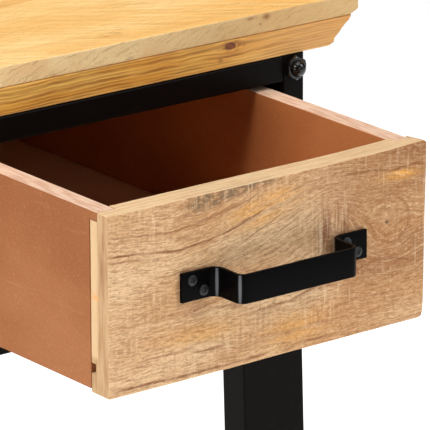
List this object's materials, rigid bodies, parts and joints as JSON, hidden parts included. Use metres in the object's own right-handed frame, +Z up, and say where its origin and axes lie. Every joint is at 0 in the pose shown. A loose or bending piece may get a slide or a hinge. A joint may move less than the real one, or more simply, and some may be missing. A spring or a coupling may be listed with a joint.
{
  "type": "side table with drawer",
  "caption": "Small side table: rough wooden top with undercut ends on a black steel tube frame with splayed legs, and a wooden-fronted drawer with a strap handle.",
  "frame": {"origin": "on the floor, in the middle of the bounding box, with the drawer pulled out as modelled", "axes": "+Z up, the drawer front faces -Y, +X is to the right of someone who looks at the drawer front, along +Y"},
  "size_m": [0.34, 0.5952, 0.51],
  "materials": {
    "mango_top": "oiled, sawn",
    "mango_edge": "lacquered",
    "mango_front": "oiled, rough sawn",
    "fibreboard": "raw fibreboard",
    "bottom_board": "raw hardboard",
    "black_steel": "semi-gloss black",
    "black_handle": "semi-gloss black",
    "screw_steel": "blackened",
    "black_plastic": "matte"
  },
  "bodies": {
    "table": {"tabletop_upper_board": "mango_top", "tabletop_lower_board": "mango_edge", "front_left_upright": "black_steel", "front_right_upright": "black_steel", "front_top_rail": "black_steel", "front_bottom_rail": "black_steel", "rear_left_upright": "black_steel", "rear_right_upright": "black_steel", "rear_top_rail": "black_steel", "rear_bottom_rail": "black_steel", "left_top_rail": "black_steel", "left_bottom_rail": "black_steel", "right_top_rail": "black_steel", "right_bottom_rail": "black_steel", "left_side_panel": "black_steel", "right_side_panel": "black_steel", "back_panel": "black_steel", "left_runner": "black_steel", "right_runner": "black_steel", "front_left_leg": "black_steel", "front_right_leg": "black_steel", "rear_left_leg": "black_steel", "rear_right_leg": "black_steel", "front_left_foot_cap": "black_plastic", "front_right_foot_cap": "black_plastic", "rear_left_foot_cap": "black_plastic", "rear_right_foot_cap": "black_plastic", "bolt_front_left_top": "black_steel", "bolt_front_left_bottom": "black_steel", "bolt_front_right_top": "black_steel", "bolt_front_right_bottom": "black_steel", "bolt_rear_left_top": "black_steel", "bolt_rear_left_bottom": "black_steel", "bolt_rear_right_top": "black_steel", "bolt_rear_right_bottom": "black_steel", "tabletop_screw_front_left": "screw_steel", "tabletop_screw_rear_left": "screw_steel", "tabletop_screw_front_right": "screw_steel", "tabletop_screw_rear_right": "screw_steel"},
    "drawer": {"drawer_front": "mango_front", "drawer_left_side": "fibreboard", "drawer_right_side": "fibreboard", "drawer_back": "fibreboard", "drawer_bottom": "bottom_board", "drawer_handle": "black_handle", "handle_screw_left_upper": "screw_steel", "handle_screw_left_lower": "screw_steel", "handle_screw_right_upper": "screw_steel", "handle_screw_right_lower": "screw_steel"}
  },
  "joints": [
    {"name": "drawer_slide", "type": "slide", "parent": "table", "child": "drawer", "axis": [0, -1, 0], "range_m": [-0.1328, 0.147]}
  ]
}
